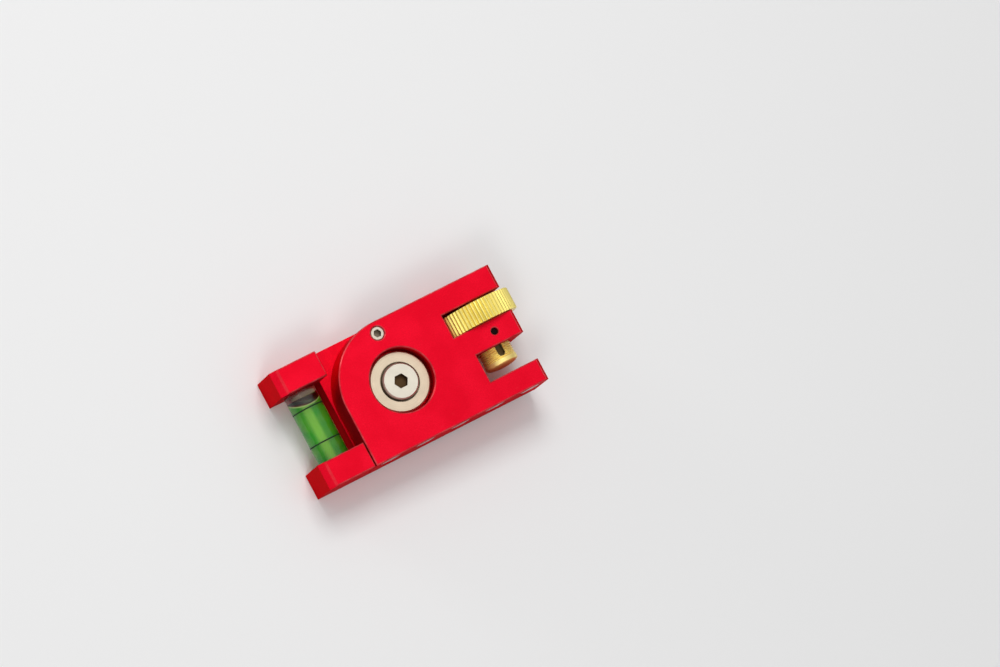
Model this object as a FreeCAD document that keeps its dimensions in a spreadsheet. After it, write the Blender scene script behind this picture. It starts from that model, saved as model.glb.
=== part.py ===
import FreeCAD, Part
import math
import os

import Sketcher
from FreeCAD import Vector

# Conduit bending level: a pocket level that clamps on a conduit. Its vial swings through 90 degrees.
# The pivot axis of the vial holder is Z. The origin lies on that axis, in the plane of the back face.
# X runs towards the clamp jaw, Y towards the thumb wheel and Z out of the front face. Millimetres.

SIZES = [
    ("body_width", 34.92, "across the two long edges of the block"),
    ("body_thick", 15.88, "back face to front face"),
    ("arm_reach", 36.8, "pivot axis to the ends of the three arms"),
    ("end_chamfer", 1.0, "chamfer across the ends of the arms"),
    ("edge_break", 0.3, "small chamfer round the front and back faces"),
    ("jaw_roof", 3.05, "pivot line down to the stem side of the jaw"),
    ("jaw_width", 8.15, "opening of the jaw between its two sides"),
    ("jaw_depth", 15.2, "ends of the arms to the bottom of the jaw"),
    ("middle_arm_top", 3.8, "pivot line up to the wheel slot"),
    ("tongue_thick", 6.35, "thickness of the tongue of the vial holder"),
    ("tongue_gap", 0.1, "running gap over and round the tongue"),
    ("stop_ledge", 1.16, "how far the tongue's stop shoulders stand out"),
    ("stop_setback", 1.5, "pivot line to the stop shoulders"),
    ("block_gap", 0.4, "body to the blocks that hold the vial"),
    ("block_length", 14.0, "length of the vial blocks"),
    ("slope_length", 2.4, "slope at the front end of the vial blocks, along them"),
    ("slope_drop", 1.04, "how far that slope drops from the front face"),
    ("window_length", 20.4, "visible length of the vial between its blocks"),
    ("vial_dia", 8.9, "outside of the vial"),
    ("vial_fit", 0.05, "radial clearance of the vial in its blocks"),
    ("vial_wall", 1.1, "wall of the vial"),
    ("vial_floor", 1.2, "closed end of the vial"),
    ("vial_seat", 4.3, "depth of the blind seat in the lower block"),
    ("vial_length", 29.4, "overall length of the vial"),
    ("vial_cap_thick", 1.2, "cap glued in the filled end of the vial"),
    ("line_spacing", 9.9, "between the middles of the two vial lines"),
    ("line_width", 0.5, "width of each vial line"),
    ("line_thick", 0.12, "thickness of each vial line"),
    ("bubble_length", 7.6, "length of the bubble"),
    ("bubble_dia", 6.1, "diameter of the bubble"),
    ("bubble_end", 1.6, "length of each sloping end of the bubble"),
    ("plug_sink", 0.25, "vial plug below the edge of its block"),
    ("counterbore_dia", 18.0, "counterbore round the pivot disc"),
    ("counterbore_floor", 10.1, "back face to the floor of the counterbore"),
    ("pivot_dia", 8.0, "shoulder of the pivot screw"),
    ("pivot_fit", 0.05, "radial running clearance of the shoulder"),
    ("pivot_thread_dia", 6.0, "thread of the pivot screw in the tongue"),
    ("pivot_thread_length", 4.9, "length of that thread"),
    ("thread_fit", 0.02, "radial clearance of a fixed thread"),
    ("thread_end_gap", 0.3, "past the end of a screw in a blind hole"),
    ("disc_gap", 0.6, "pivot disc to the wall of the counterbore"),
    ("disc_thick", 2.5, "thickness of the pivot disc"),
    ("disc_recess_dia", 11.0, "recess in the disc round the screw head"),
    ("disc_recess_depth", 1.3, "depth of that recess"),
    ("disc_edge", 0.35, "chamfer on the rim of the disc"),
    ("washer_space", 0.5, "height left for the spring washer"),
    ("washer_inset", 0.4, "rim of the spring washer inside that of the disc"),
    ("washer_fit", 0.02, "gap of the spring washer to each seat"),
    ("head_dia", 10.0, "head of the pivot screw"),
    ("head_thick", 2.5, "height of that head"),
    ("head_edge", 0.35, "chamfer on the rim of that head"),
    ("head_socket", 3.6, "across flats of the socket in that head"),
    ("head_socket_depth", 1.7, "depth of that socket"),
    ("detent_setback", 3.31, "long edge of the block to the detent plunger"),
    ("detent_dia", 3.9, "thread of the detent set screw"),
    ("detent_screw_length", 3.3, "length of the detent set screw"),
    ("detent_sink", 0.35, "set screw below the front face"),
    ("detent_socket", 2.0, "across flats of the socket in the set screw"),
    ("detent_socket_depth", 1.6, "depth of that socket"),
    ("hole_break", 0.25, "chamfer on the rims of the set screw and its hole"),
    ("ball_dia", 3.5, "detent ball"),
    ("ball_lift", 0.05, "ball over the tongue while the holder swings"),
    ("ball_drop", 0.35, "travel of the ball into a dimple"),
    ("dimple_fit", 0.06, "clearance of the ball in a dimple"),
    ("dimple_slope", 59.0, "half angle of the drilled dimples, in degrees"),
    ("spring_dia", 2.6, "mean diameter of the detent spring"),
    ("spring_wire", 0.35, "wire of the detent spring"),
    ("spring_turns", 3.0, "turns of the detent spring"),
    ("spring_seat", 0.1, "gap of the detent spring to its two seats"),
    ("wheel_dia", 21.6, "thumb wheel over its teeth"),
    ("wheel_thick", 6.1, "thickness of the thumb wheel"),
    ("wheel_edge", 0.35, "chamfer on the rim of the wheel"),
    ("wheel_seat", 0.1, "gap between wheel and middle arm"),
    ("wheel_play", 0.7, "gap between wheel and top arm"),
    ("wheel_tip_gap", 0.35, "gap between the teeth and the end of the slot"),
    ("tooth_depth", 0.4, "depth of the grooves between the teeth"),
    ("tooth_groove", 0.5, "width of each groove at the rim"),
    ("wheel_thread_fit", 0.06, "radial running clearance of the wheel on the stem"),
    ("stem_setback", 7.4, "ends of the arms to the axis of the stem"),
    ("stem_dia", 9.5, "clamp stem over its thread"),
    ("stem_fit", 0.06, "radial running clearance of the stem in the arms"),
    ("stem_reveal", 5.85, "how far the stem stands into the jaw"),
    ("stem_length", 20.4, "overall length of the stem"),
    ("stem_dome", 1.5, "height of the rounded tip of the stem"),
    ("stem_tip_dia", 4.6, "flat at the middle of that tip"),
    ("stem_tip_rise", 0.55, "height at which the tip grows steeper"),
    ("stem_tip_spread", 3.9, "radius of the tip at that height"),
    ("keyway_width", 2.1, "width of the keyway in the stem"),
    ("keyway_depth", 2.0, "depth of that keyway"),
    ("keyway_start", 2.8, "tip of the stem to the round end of the keyway"),
    ("keyway_length", 11.0, "length of the keyway"),
    ("pin_dia", 2.0, "key pin"),
    ("pin_rise", 0.55, "pivot line up to the key pin"),
    ("pin_sink", 1.1, "key pin below the front face"),
    ("pin_gap", 0.1, "key pin to the bottom of the keyway"),
    ("pin_fit", 0.02, "radial clearance of the pin in its hole"),
    ("magnet_dia", 6.35, "disc magnets in the long edges"),
    ("magnet_thick", 3.0, "thickness of the magnets"),
    ("magnet_sink", 0.1, "magnets below the edge"),
    ("magnet_fit", 0.02, "radial clearance of the magnets"),
    ("long_row_back", 5.46, "square corner of the block to the first magnet in the bottom edge"),
    ("long_row_front", 4.8, "ends of the arms to the last magnet in the bottom edge"),
    ("short_row_start", 6.5, "first magnet in the top edge"),
    ("short_row_pitch", 7.0, "between magnets in the top edge"),
]

LONG_ROW_COUNT = 5
SHORT_ROW_COUNT = 3
TOOTH_COUNT = 60
DETENT_ANGLES = [0, 30, 45, 60, 90]

# Places that several pieces share, each worked out from the sizes above.
PLACES = [
    ("half_width", "body_width / 2"),
    ("half_thick", "body_thick / 2"),
    ("recess_depth", "tongue_thick + tongue_gap"),
    ("shoulder_radius", "half_width - stop_ledge"),
    ("block_near", "half_width + block_gap"),
    ("block_far", "block_near + block_length"),
    ("vial_reach", "block_near + block_length / 2"),
    ("window_half", "window_length / 2"),
    ("vial_low", "window_half + vial_seat"),
    ("jaw_floor", "jaw_roof + jaw_width"),
    ("jaw_root", "arm_reach - jaw_depth"),
    ("stem_reach", "arm_reach - stem_setback"),
    ("slot_top", "middle_arm_top + wheel_seat + wheel_thick + wheel_play"),
    ("slot_end", "stem_reach - wheel_dia / 2 - wheel_tip_gap"),
    ("stem_tip", "jaw_roof + stem_reveal"),
    ("disc_low", "counterbore_floor + washer_space"),
    ("disc_radius", "counterbore_dia / 2 - disc_gap"),
    ("head_low", "disc_low + disc_thick - disc_recess_depth"),
    ("detent_reach", "half_width - detent_setback"),
    ("ball_height", "tongue_thick + ball_lift + ball_dia / 2"),
    ("detent_screw_low", "body_thick - detent_sink - detent_screw_length"),
    ("magnet_height", "(body_thick + recess_depth) / 2"),
    ("long_row_start", "long_row_back - half_width"),
    ("long_row_pitch", "(arm_reach - long_row_front - long_row_start) / 4"),
]

doc = FreeCAD.newDocument("conduit_bending_level")
sheet = doc.addObject("Spreadsheet::Sheet", "sizes")
parts = []


def fill_sheet():
    for row, (alias, value, note) in enumerate(SIZES, start=1):
        sheet.set(f"A{row}", note)
        sheet.set(f"B{row}", str(value))
        sheet.setAlias(f"B{row}", alias)
    for row, (alias, formula) in enumerate(PLACES, start=len(SIZES) + 2):
        sheet.set(f"B{row}", "=" + formula)
        sheet.setAlias(f"B{row}", alias)
    doc.recompute()


def number(expression):
    """The present value of an expression on the sheet."""
    return float(sheet.evalExpression(expression))


def bound(expression):
    """The same expression as other objects write it, with the sheet's name before each alias."""
    words = []
    word = ""
    for letter in expression + " ":
        if letter.isalnum() or letter == "_":
            word += letter
            continue
        words.append("sizes." + word if word in ALIASES else word)
        words.append(letter)
        word = ""
    return "".join(words).strip()


ALIASES = {entry[0] for entry in SIZES} | {entry[0] for entry in PLACES}


def new_part(label, x="0", y="0", z="0"):
    """An empty body with its own label, placed by three expressions."""
    body = doc.addObject("PartDesign::Body", label)
    body.Label = label
    place(body, x, y, z)
    parts.append(body)
    return body


def place(item, x, y, z):
    for axis, expression in (("x", x), ("y", y), ("z", z)):
        item.setExpression("Placement.Base." + axis, bound(expression))


def new_sketch(body, role, height="0"):
    """A sketch on an origin plane of its body, raised along the plane's normal."""
    plane = [item for item in body.Origin.OriginFeatures if item.Role == role][0]
    sketch = body.newObject("Sketcher::SketchObject", "Sketch")
    sketch.AttachmentSupport = [(plane, "")]
    sketch.MapMode = "FlatFace"
    sketch.setExpression("AttachmentOffset.Base.z", bound(height))
    return sketch


def pin_point(sketch, curve, end, x, y):
    for kind, expression in (("DistanceX", x), ("DistanceY", y)):
        value = number(expression)
        index = sketch.addConstraint(Sketcher.Constraint(kind, -1, 1, curve, end, value))
        sketch.setExpression(f"Constraints[{index}]", bound(expression))


def set_radius(sketch, curve, expression):
    index = sketch.addConstraint(Sketcher.Constraint("Radius", curve, number(expression)))
    sketch.setExpression(f"Constraints[{index}]", bound(expression))


def draw_circle(sketch, x, y, radius):
    centre = Vector(number(x), number(y), 0)
    curve = sketch.addGeometry(Part.Circle(centre, Vector(0, 0, 1), number(radius)))
    pin_point(sketch, curve, 3, x, y)
    set_radius(sketch, curve, radius)


def draw_outline(sketch, corners):
    """A closed outline. A corner is (x, y), or (x, y, radius, turn) when an arc arrives there.

    The turn is 1 for an arc that runs anticlockwise and -1 for a clockwise one.
    """
    drawn = []
    for index, corner in enumerate(corners):
        start = Vector(number(corners[index - 1][0]), number(corners[index - 1][1]), 0)
        finish = Vector(number(corner[0]), number(corner[1]), 0)
        if len(corner) == 2:
            curve = sketch.addGeometry(Part.LineSegment(start, finish))
            drawn.append((curve, 1, 2))
            continue
        radius, turn = number(corner[2]), corner[3]
        chord = finish - start
        left = Vector(-chord.y, chord.x, 0).normalize()
        rise = math.sqrt(max(radius ** 2 - (chord.Length / 2) ** 2, 0))
        centre = (start + finish) * 0.5 + left * (turn * rise)
        first, last = (start, finish) if turn == 1 else (finish, start)
        angles = [math.atan2(point.y - centre.y, point.x - centre.x) for point in (first, last)]
        if angles[1] < angles[0]:
            angles[1] += 2 * math.pi
        circle = Part.Circle(centre, Vector(0, 0, 1), radius)
        curve = sketch.addGeometry(Part.ArcOfCircle(circle, angles[0], angles[1]))
        set_radius(sketch, curve, corner[2])
        drawn.append((curve, 1, 2) if turn == 1 else (curve, 2, 1))
    for index, (curve, start_end, finish_end) in enumerate(drawn):
        following = drawn[(index + 1) % len(drawn)]
        joint = Sketcher.Constraint("Coincident", curve, finish_end, following[0], following[1])
        sketch.addConstraint(joint)
        pin_point(sketch, curve, finish_end, corners[index][0], corners[index][1])


def rectangle(left, low, right, high):
    return [(left, low), (right, low), (right, high), (left, high)]


def hexagon(flats):
    corner = f"{flats} / sqrt(3)"
    return [(corner, "0"), (f"{corner} / 2", f"{flats} / 2"), (f"-{corner} / 2", f"{flats} / 2"),
            (f"-{corner}", "0"), (f"-{corner} / 2", f"-{flats} / 2"), (f"{corner} / 2", f"-{flats} / 2")]


def pad(body, sketch, length):
    feature = body.newObject("PartDesign::Pad", "Pad")
    feature.Profile = sketch
    feature.setExpression("Length", bound(length))
    doc.recompute()
    return feature


def pocket(body, sketch, length=None, upwards=False):
    """Cuts against the sketch's normal, along it if upwards, or both ways through all."""
    before = body.Shape.Volume
    feature = body.newObject("PartDesign::Pocket", "Pocket")
    feature.Profile = sketch
    if length is None:
        feature.Type = "ThroughAll"
        feature.Midplane = True
    else:
        feature.Reversed = upwards
        feature.setExpression("Length", bound(length))
    doc.recompute()
    must_shrink(body, before)
    return feature


def revolve(body, sketch):
    feature = body.newObject("PartDesign::Revolution", "Revolution")
    feature.Profile = sketch
    feature.ReferenceAxis = (sketch, ["V_Axis"])
    feature.Angle = 360
    doc.recompute()
    return feature


def groove(body, sketch):
    before = body.Shape.Volume
    feature = body.newObject("PartDesign::Groove", "Groove")
    feature.Profile = sketch
    feature.ReferenceAxis = (sketch, ["V_Axis"])
    feature.Angle = 360
    doc.recompute()
    must_shrink(body, before)
    return feature


def must_shrink(body, before):
    if not body.Shape.Volume < before - 1e-6:
        raise RuntimeError(f"{body.Label}: a cut took nothing away")


def chamfer(body, size, chosen):
    """Chamfers the edges whose middle and ends pass the test."""
    base = body.Tip
    names = [f"Edge{index}" for index, edge in enumerate(base.Shape.Edges, start=1) if chosen(edge)]
    feature = body.newObject("PartDesign::Chamfer", "Chamfer")
    feature.Base = (base, names)
    feature.setExpression("Size", bound(size))
    doc.recompute()
    return feature


def face_rim(shape, height):
    """The edges of the outer wires of the flat faces that lie at a height."""
    rims = []
    for face in shape.Faces:
        box = face.BoundBox
        if abs(box.ZMin - height) < 1e-6 and abs(box.ZMax - height) < 1e-6:
            rims.extend(face.OuterWire.Edges)
    return rims


def in_rim(edge, rims):
    return any(edge.isSame(other) for other in rims)


def lies_at(edge, axis, value):
    return all(abs(getattr(vertex.Point, axis) - value) < 1e-6 for vertex in edge.Vertexes)


def make_level_body():
    """Milled block: three arms round the jaw and the wheel slot, and a recess behind for the tongue."""
    body = new_part("level_body")
    plan = new_sketch(body, "XY_Plane")
    draw_outline(plan, [
        ("-half_width", "-half_width"),
        ("arm_reach", "-half_width"),
        ("arm_reach", "half_width"),
        ("0", "half_width"),
        ("-half_width", "0", "half_width", 1),
    ])
    pad(body, plan, "body_thick")

    jaw = new_sketch(body, "XY_Plane")
    draw_outline(jaw, rectangle("jaw_root", "-jaw_floor", "arm_reach + 1", "-jaw_roof"))
    pocket(body, jaw)

    slot = new_sketch(body, "XY_Plane")
    draw_outline(slot, rectangle("slot_end", "middle_arm_top", "arm_reach + 1", "slot_top"))
    pocket(body, slot)

    chamfer(body, "end_chamfer", lambda edge: is_arm_end(edge))
    break_front_and_back(body, number("arm_reach - end_chamfer"))

    recess = new_sketch(body, "XY_Plane")
    outer = "half_width + 1"
    wall = "half_width + tongue_gap"
    ledge = "shoulder_radius + tongue_gap"
    step = "stop_setback - tongue_gap"
    across = f"sqrt(({ledge}) ^ 2 - ({step}) ^ 2)"
    draw_outline(recess, [
        (f"-({outer})", f"-({outer})"),
        (f"-({step})", f"-({outer})"),
        (f"-({step})", f"-{across}"),
        (across, step, ledge, 1),
        (wall, step),
        (wall, outer),
        (f"-({outer})", outer),
    ])
    pocket(body, recess, "recess_depth", upwards=True)

    counterbore = new_sketch(body, "XY_Plane", "body_thick")
    draw_circle(counterbore, "0", "0", "counterbore_dia / 2")
    pocket(body, counterbore, "body_thick - counterbore_floor")
    chamfer(body, "edge_break", lambda edge: is_front_hole(edge, "counterbore_dia / 2"))

    pivot_bore = new_sketch(body, "XY_Plane")
    draw_circle(pivot_bore, "0", "0", "pivot_dia / 2 + pivot_fit")
    pocket(body, pivot_bore)

    detent_bore = new_sketch(body, "XY_Plane")
    draw_circle(detent_bore, "0", "detent_reach", "detent_dia / 2 + thread_fit")
    pocket(body, detent_bore)
    chamfer(body, "hole_break", lambda edge: is_front_hole(edge, "detent_dia / 2 + thread_fit"))

    stem_bore = new_sketch(body, "XZ_Plane", "-(half_width + 1)")
    draw_circle(stem_bore, "stem_reach", "half_thick", "stem_dia / 2 + stem_fit")
    pocket(body, stem_bore, "half_width + 1 + jaw_roof + 1", upwards=True)

    pin_hole = new_sketch(body, "XY_Plane", "body_thick")
    draw_circle(pin_hole, "stem_reach", "pin_rise", "pin_dia / 2 + pin_fit")
    pocket(body, pin_hole, "half_thick")
    chamfer(body, "hole_break", lambda edge: is_front_hole(edge, "pin_dia / 2 + pin_fit"))

    bottom_row = new_sketch(body, "XZ_Plane", "half_width")
    for index in range(LONG_ROW_COUNT):
        x = f"long_row_start + {index} * long_row_pitch"
        draw_circle(bottom_row, x, "magnet_height", "magnet_dia / 2 + magnet_fit")
    pocket(body, bottom_row, "magnet_thick + magnet_sink")

    top_row = new_sketch(body, "XZ_Plane", "-half_width")
    for index in range(SHORT_ROW_COUNT):
        x = f"short_row_start + {index} * short_row_pitch"
        draw_circle(top_row, x, "magnet_height", "magnet_dia / 2 + magnet_fit")
    pocket(body, top_row, "magnet_thick + magnet_sink", upwards=True)


def is_arm_end(edge):
    at_end = lies_at(edge, "x", number("arm_reach"))
    on_face = lies_at(edge, "z", 0) or lies_at(edge, "z", number("body_thick"))
    return at_end and on_face


def is_front_hole(edge, size):
    """A full circle of that radius in the front face."""
    round_edge = isinstance(edge.Curve, Part.Circle) and len(edge.Vertexes) == 1
    return (round_edge and lies_at(edge, "z", number("body_thick"))
            and abs(edge.Curve.Radius - number(size)) < 1e-6)


def break_front_and_back(body, done_at):
    """Breaks the outer edges of both faces, apart from those that are chamfered already."""
    shape = body.Tip.Shape
    rims = face_rim(shape, 0) + face_rim(shape, number("body_thick"))
    chamfer(body, "edge_break", lambda edge: in_rim(edge, rims) and not lies_at(edge, "x", done_at))


def make_vial_holder():
    """Tongue that turns in the recess, with a thick block on each side of the vial."""
    body = new_part("vial_holder")
    plan = new_sketch(body, "XY_Plane")
    across = "sqrt(shoulder_radius ^ 2 - stop_setback ^ 2)"
    draw_outline(plan, [
        ("-block_near", "-half_width"),
        ("-stop_setback", "-half_width"),
        ("-stop_setback", f"-{across}"),
        ("shoulder_radius", "0", "shoulder_radius", 1),
        ("-stop_setback", across, "shoulder_radius", 1),
        ("-stop_setback", "half_width"),
        ("-block_near", "half_width"),
    ])
    pad(body, plan, "tongue_thick")

    blocks = new_sketch(body, "XY_Plane")
    draw_outline(blocks, rectangle("-block_far", "window_half", "-block_near", "half_width"))
    draw_outline(blocks, rectangle("-block_far", "-half_width", "-block_near", "-window_half"))
    pad(body, blocks, "body_thick")

    slope = new_sketch(body, "XZ_Plane")
    draw_outline(slope, [
        ("-block_far", "body_thick - slope_drop"),
        ("slope_length - block_far", "body_thick"),
        ("-block_far", "body_thick + 1"),
        ("-(block_far + 1)", "body_thick + 1"),
        ("-(block_far + 1)", "body_thick - slope_drop"),
    ])
    pocket(body, slope)
    break_front_and_back(body, number("slope_length - block_far"))

    vial_bore = new_sketch(body, "XZ_Plane", "-half_width")
    draw_circle(vial_bore, "-vial_reach", "half_thick", "vial_dia / 2 + vial_fit")
    pocket(body, vial_bore, "half_width + vial_low", upwards=True)

    pivot_thread = new_sketch(body, "XY_Plane", "tongue_thick")
    draw_circle(pivot_thread, "0", "0", "pivot_thread_dia / 2 + thread_fit")
    pocket(body, pivot_thread, "pivot_thread_length + thread_end_gap")

    seat = "(ball_dia / 2 + dimple_fit) / sin(dimple_slope * 1 deg)"
    apex = f"ball_height - ball_drop - {seat}"
    depth = f"tongue_thick + dimple_fit - ({apex})"
    for angle in DETENT_ANGLES:
        before = body.Shape.Volume
        dimple = body.newObject("PartDesign::SubtractiveCone", "Dimple")
        dimple.Radius1 = 0
        dimple.setExpression("Radius2", bound(f"({depth}) * tan(dimple_slope * 1 deg)"))
        dimple.setExpression("Height", bound(depth))
        place(dimple, f"-detent_reach * sin({angle} deg)", f"detent_reach * cos({angle} deg)", apex)
        doc.recompute()
        must_shrink(body, before)


def new_vial_part(label):
    return new_part(label, "-vial_reach", "-vial_low", "half_thick")


def make_vial():
    """Clear tube with a cap, the liquid with its bubble, and the two lines round the tube."""
    inside = "vial_dia / 2 - vial_wall"
    cap_low = "vial_length - vial_cap_thick"

    tube = new_vial_part("vial_tube")
    section = new_sketch(tube, "XY_Plane")
    draw_outline(section, [
        ("0", "0"),
        ("vial_dia / 2", "0"),
        ("vial_dia / 2", "vial_length"),
        (inside, "vial_length"),
        (inside, "vial_floor"),
        ("0", "vial_floor"),
    ])
    revolve(tube, section)

    cap = new_vial_part("vial_cap")
    section = new_sketch(cap, "XY_Plane")
    draw_outline(section, rectangle("0", cap_low, inside, "vial_length"))
    revolve(cap, section)

    liquid = new_vial_part("vial_liquid")
    section = new_sketch(liquid, "XY_Plane")
    draw_outline(section, rectangle("0", "vial_floor", inside, cap_low))
    revolve(liquid, section)
    lift = f"{inside} - bubble_dia / 2"
    bubble = new_sketch(liquid, "XY_Plane", f"({lift}) * 0.9")
    high = f"{cap_low} - 0.05"
    low = f"{high} - bubble_length"
    draw_outline(bubble, [
        ("0", low),
        ("bubble_dia / 4", low),
        ("bubble_dia / 2", f"{low} + bubble_end"),
        ("bubble_dia / 2", f"{high} - bubble_end"),
        ("bubble_dia / 4", high),
        ("0", high),
    ])
    groove(liquid, bubble)

    for name, side in (("vial_line_low", "-"), ("vial_line_high", "+")):
        line = new_part(name, "-vial_reach", f"0 {side} line_spacing / 2", "half_thick")
        section = new_sketch(line, "XY_Plane")
        outside = "vial_dia / 2 + line_thick"
        draw_outline(section, rectangle("vial_dia / 2", "-line_width / 2", outside, "line_width / 2"))
        revolve(line, section)


def make_vial_plug():
    """Round plug that closes the hole in the upper block behind the vial."""
    plug = new_part("vial_plug", "-vial_reach", "0", "half_thick")
    section = new_sketch(plug, "XY_Plane")
    low = "vial_length - vial_low + vial_fit"
    draw_outline(section, rectangle("0", low, "vial_dia / 2 + vial_fit / 2", "half_width - plug_sink"))
    revolve(plug, section)


def make_pivot():
    """Shoulder screw through the block into the tongue, its disc, and a spring washer pressed flat."""
    disc = new_part("pivot_disc", z="disc_low")
    section = new_sketch(disc, "XZ_Plane")
    bore = "pivot_dia / 2 + pivot_fit"
    draw_outline(section, [
        (bore, "0"),
        ("disc_radius", "0"),
        ("disc_radius", "disc_thick - disc_edge"),
        ("disc_radius - disc_edge", "disc_thick"),
        ("disc_recess_dia / 2", "disc_thick"),
        ("disc_recess_dia / 2", "disc_thick - disc_recess_depth"),
        (bore, "disc_thick - disc_recess_depth"),
    ])
    revolve(disc, section)

    washer = new_part("spring_washer", z="counterbore_floor + washer_fit")
    section = new_sketch(washer, "XZ_Plane")
    inside = "pivot_dia / 2 + 4 * pivot_fit"
    flat = "washer_space - 2 * washer_fit"
    draw_outline(section, rectangle(inside, "0", "disc_radius - washer_inset", flat))
    revolve(washer, section)

    screw = new_part("pivot_screw", z="head_low")
    section = new_sketch(screw, "XZ_Plane")
    shoulder = "tongue_thick - head_low"
    draw_outline(section, [
        ("0", f"{shoulder} - pivot_thread_length"),
        ("pivot_thread_dia / 2", f"{shoulder} - pivot_thread_length"),
        ("pivot_thread_dia / 2", shoulder),
        ("pivot_dia / 2", shoulder),
        ("pivot_dia / 2", "0"),
        ("head_dia / 2", "0"),
        ("head_dia / 2", "head_thick - head_edge"),
        ("head_dia / 2 - head_edge", "head_thick"),
        ("0", "head_thick"),
    ])
    revolve(screw, section)
    socket = new_sketch(screw, "XY_Plane", "head_thick")
    draw_outline(socket, hexagon("head_socket"))
    pocket(screw, socket, "head_socket_depth")


def screw_top():
    return number("detent_screw_length")


def make_detent():
    """Set screw, spring and ball that hold the swinging tongue at its angles."""
    screw = new_part("detent_set_screw", y="detent_reach", z="detent_screw_low")
    plan = new_sketch(screw, "XY_Plane")
    draw_circle(plan, "0", "0", "detent_dia / 2")
    pad(screw, plan, "detent_screw_length")
    chamfer(screw, "hole_break", lambda edge: lies_at(edge, "z", screw_top()))
    socket = new_sketch(screw, "XY_Plane", "detent_screw_length")
    draw_outline(socket, hexagon("detent_socket"))
    pocket(screw, socket, "detent_socket_depth")

    ball = doc.addObject("Part::Sphere", "detent_ball")
    ball.Label = "detent_ball"
    ball.setExpression("Radius", bound("ball_dia / 2"))
    place(ball, "0", "detent_reach", "ball_height")
    parts.append(ball)

    ball_touch = "ball_height + sqrt((ball_dia / 2 + spring_wire / 2) ^ 2 - (spring_dia / 2) ^ 2)"
    low = f"{ball_touch} + spring_seat"
    rise = f"detent_screw_low - spring_wire / 2 - spring_seat - ({low})"
    coil = doc.addObject("Part::Helix", "detent_coil")
    coil.setExpression("Radius", bound("spring_dia / 2"))
    coil.setExpression("Pitch", bound(f"({rise}) / spring_turns"))
    coil.setExpression("Height", bound(rise))
    wire = doc.addObject("Part::RegularPolygon", "detent_wire")
    wire.Polygon = 4
    wire.setExpression("Circumradius", bound("spring_wire / sqrt(2)"))
    wire.setExpression("Placement.Base.x", bound("spring_dia / 2"))
    upright = FreeCAD.Rotation(Vector(1, 0, 0), 90)
    wire.Placement.Rotation = upright * FreeCAD.Rotation(Vector(0, 0, 1), 45)
    spring = doc.addObject("Part::Sweep", "detent_spring")
    spring.Label = "detent_spring"
    spring.Sections = [wire]
    spring.Spine = (coil, ["Edge1"])
    spring.Solid = True
    spring.Frenet = True
    place(spring, "0", "detent_reach", low)
    parts.append(spring)


def make_thumb_wheel():
    """Round nut with a straight knurl: a groove cut in the rim and repeated all the way round."""
    body = new_part("thumb_wheel", "stem_reach", "middle_arm_top + wheel_seat", "half_thick")
    section = new_sketch(body, "XY_Plane")
    bore = "stem_dia / 2 + wheel_thread_fit"
    draw_outline(section, [
        (bore, "0"),
        ("wheel_dia / 2 - wheel_edge", "0"),
        ("wheel_dia / 2", "wheel_edge"),
        ("wheel_dia / 2", "wheel_thick - wheel_edge"),
        ("wheel_dia / 2 - wheel_edge", "wheel_thick"),
        (bore, "wheel_thick"),
    ])
    revolve(body, section)
    tooth = new_sketch(body, "XZ_Plane")
    rim = "wheel_dia / 2 + tooth_depth"
    root = "wheel_dia / 2 - tooth_depth"
    wide = f"tooth_groove * ({rim}) / wheel_dia"
    narrow = f"tooth_groove * ({root}) / wheel_dia"
    draw_outline(tooth, [
        (f"-{narrow}", root),
        (narrow, root),
        (wide, rim),
        (f"-{wide}", rim),
    ])
    cut = pocket(body, tooth)
    knurl = body.newObject("PartDesign::PolarPattern", "Knurl")
    knurl.Originals = [cut]
    knurl.Axis = (section, ["V_Axis"])
    knurl.Angle = 360
    knurl.Occurrences = TOOTH_COUNT
    body.Tip = knurl
    doc.recompute()


def make_clamp_stem():
    """Threaded stem with a rounded tip and a keyway along its front side."""
    body = new_part("clamp_stem", "stem_reach", "-stem_tip", "half_thick")
    section = new_sketch(body, "XY_Plane")
    draw_outline(section, [
        ("0", "0"),
        ("stem_tip_dia / 2", "0"),
        ("stem_tip_spread", "stem_tip_rise"),
        ("stem_dia / 2", "stem_dome"),
        ("stem_dia / 2", "stem_length - wheel_edge"),
        ("stem_dia / 2 - wheel_edge", "stem_length"),
        ("0", "stem_length"),
    ])
    revolve(body, section)
    keyway = new_sketch(body, "XY_Plane", "stem_dia / 2")
    half = "keyway_width / 2"
    low = f"keyway_start + {half}"
    high = f"keyway_start + keyway_length - {half}"
    draw_outline(keyway, [
        (f"-{half}", low),
        ("0", "keyway_start", half, 1),
        (half, low, half, 1),
        (half, high),
        ("0", "keyway_start + keyway_length", half, 1),
        (f"-{half}", high, half, 1),
    ])
    pocket(body, keyway, "keyway_depth")


def make_key_pin():
    """Pin from the front face into the keyway, which keeps the stem from turning."""
    low = "half_thick + stem_dia / 2 - keyway_depth + pin_gap"
    body = new_part("key_pin", "stem_reach", "pin_rise", low)
    plan = new_sketch(body, "XY_Plane")
    draw_circle(plan, "0", "0", "pin_dia / 2")
    pad(body, plan, f"body_thick - pin_sink - ({low})")


def make_magnets():
    """Disc magnets, a row in each long edge."""
    bottom = "-(half_width - magnet_sink - magnet_thick)"
    top = "half_width - magnet_sink"
    rows = [("long_row", LONG_ROW_COUNT, bottom), ("short_row", SHORT_ROW_COUNT, top)]
    made = 0
    for row, count, y in rows:
        for index in range(count):
            made += 1
            x = f"{row}_start + {index} * {row}_pitch"
            body = new_part(f"edge_magnet_{made}", x, y, "magnet_height")
            plan = new_sketch(body, "XZ_Plane")
            draw_circle(plan, "0", "0", "magnet_dia / 2")
            pad(body, plan, "magnet_thick")


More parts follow.
